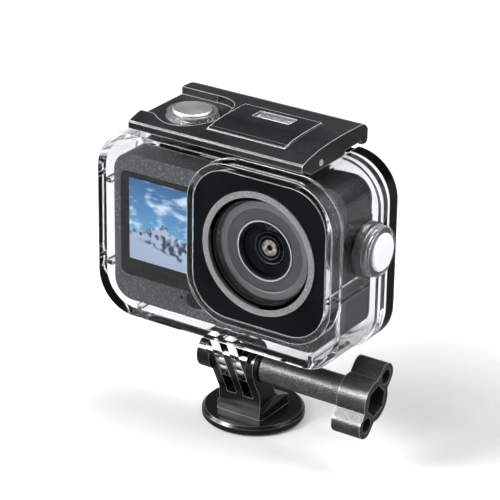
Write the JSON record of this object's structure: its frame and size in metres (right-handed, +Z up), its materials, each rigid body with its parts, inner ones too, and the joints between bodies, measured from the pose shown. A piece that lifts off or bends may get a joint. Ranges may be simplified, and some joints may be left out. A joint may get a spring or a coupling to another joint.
{
  "type": "action camera in a clear dive case",
  "caption": "Action camera sealed in a clear waterproof case with press buttons, flap latch and hinged back door, on a tilting tripod pivot mount with a winged clamp screw.",
  "frame": {"origin": "centre of the underside of the round mount foot, on the tripod socket's axis", "axes": "+X to the viewer's right as the lens faces the viewer, -Y to the front (lens side), +Z up"},
  "size_m": [0.0882, 0.0399, 0.0944],
  "materials": {
    "black_plastic": "satin moulded",
    "knob_plastic": "satin moulded",
    "sleeve_black": "grainy matte",
    "cover_black": "fine texture",
    "flap_black": "fine texture",
    "clear_case": "clear polycarbonate, polished",
    "clear_door": "clear polycarbonate, polished",
    "clear_ring": "clear, bevelled",
    "window_glass": "polished",
    "panel_black": "satin black",
    "rubber_black": "matte",
    "steel": "bright",
    "cap_metal": "spun brushed",
    "side_metal": "pale satin",
    "brass": "machined",
    "dark_metal": "blackened",
    "camera_shell": "speckled soft-touch",
    "camera_rear_shell": "speckled soft-touch",
    "lens_grey": "satin",
    "trim_silver": "polished edge",
    "barrel_black": "matte",
    "lens_glass": "coated",
    "sensor": "polished",
    "screen_black": "polished",
    "display": "lit picture",
    "board_green": "solder mask",
    "battery_wrap": "wrap film",
    "button_red": "satin"
  },
  "bodies": {
    "mount": {"mount_base": "black_plastic", "tripod_insert": "brass", "lock_nut": "steel"},
    "clamp_screw": {"clamp_rod": "steel", "clamp_washer": "dark_metal", "clamp_sleeve": "sleeve_black", "clamp_knob": "knob_plastic"},
    "dive_case": {"front_shell": "clear_case", "port_mask": "panel_black", "port_ring": "clear_ring", "port_window": "window_glass", "port_seal": "rubber_black", "top_cover": "cover_black", "cover_pins": "steel", "flap_pin": "steel", "door_hinge_pin": "steel", "shutter_collar": "clear_ring", "shutter_seal": "rubber_black", "side_collar": "clear_ring", "side_seal": "rubber_black", "camera_front": "camera_shell", "camera_back": "camera_rear_shell", "lens_ring": "lens_grey", "lens_trim": "trim_silver", "lens_barrel": "barrel_black", "lens_dome": "lens_glass", "lens_group": "lens_glass", "image_sensor": "sensor", "front_bezel": "screen_black", "front_display": "display", "rear_cover": "screen_black", "rear_display": "screen_black", "main_board": "board_green", "heat_spreader": "trim_silver", "battery": "battery_wrap", "battery_door": "camera_rear_shell", "mic_mesh": "barrel_black", "camera_screws": "steel"},
    "shutter": {"shutter_cap": "cap_metal", "shutter_plunger": "dark_metal", "shutter_spring": "steel"},
    "record_key": {"record_button": "button_red"},
    "side_push": {"side_cap": "side_metal", "side_plunger": "dark_metal", "side_spring": "steel"},
    "mode_key": {"mode_button": "camera_shell"},
    "latch_flap": {"release_flap": "flap_black", "flap_window": "clear_ring"},
    "back_door": {"rear_door": "clear_door", "door_seal": "rubber_black"}
  },
  "joints": [
    {"name": "tilt", "type": "hinge", "parent": "mount", "child": "dive_case", "pos_m": [0, -0.0094, 0.0218], "axis": [1, 0, 0], "range_deg": [-15, 40]},
    {"name": "clamp_turn", "type": "hinge", "parent": "mount", "child": "clamp_screw", "pos_m": [0, -0.0094, 0.0218], "axis": [1, 0, 0], "continuous": true},
    {"name": "shutter_press", "type": "slide", "parent": "dive_case", "child": "shutter", "axis": [0, 0, -1], "range_m": [0, 0.0012], "stiffness_N_per_m": 1500, "springref_m": -0.0012, "deforming": ["shutter_spring"]},
    {"name": "record_key_press", "type": "slide", "parent": "dive_case", "child": "record_key", "axis": [0, 0, -1], "range_m": [0, 0.0012]},
    {"name": "side_press", "type": "slide", "parent": "dive_case", "child": "side_push", "axis": [-1, 0, 0], "range_m": [0, 0.0012], "stiffness_N_per_m": 1500, "springref_m": -0.0012, "deforming": ["side_spring"]},
    {"name": "mode_key_press", "type": "slide", "parent": "dive_case", "child": "mode_key", "axis": [-1, 0, 0], "range_m": [0, 0.0012]},
    {"name": "door_swing", "type": "hinge", "parent": "dive_case", "child": "back_door", "pos_m": [0, 0.0023, 0.0283], "axis": [-1, 0, 0], "range_deg": [0, 80]},
    {"name": "flap_lift", "type": "hinge", "parent": "dive_case", "child": "latch_flap", "pos_m": [0.0064, -0.0146, 0.092], "axis": [1, 0, 0], "range_deg": [0, 80]}
  ],
  "couplings": [
    {"joint": "record_key_press", "follows": "shutter_press", "ratio": 1},
    {"joint": "mode_key_press", "follows": "side_press", "ratio": 1},
    {"joint": "flap_lift", "follows": "door_swing", "ratio": 1}
  ]
}
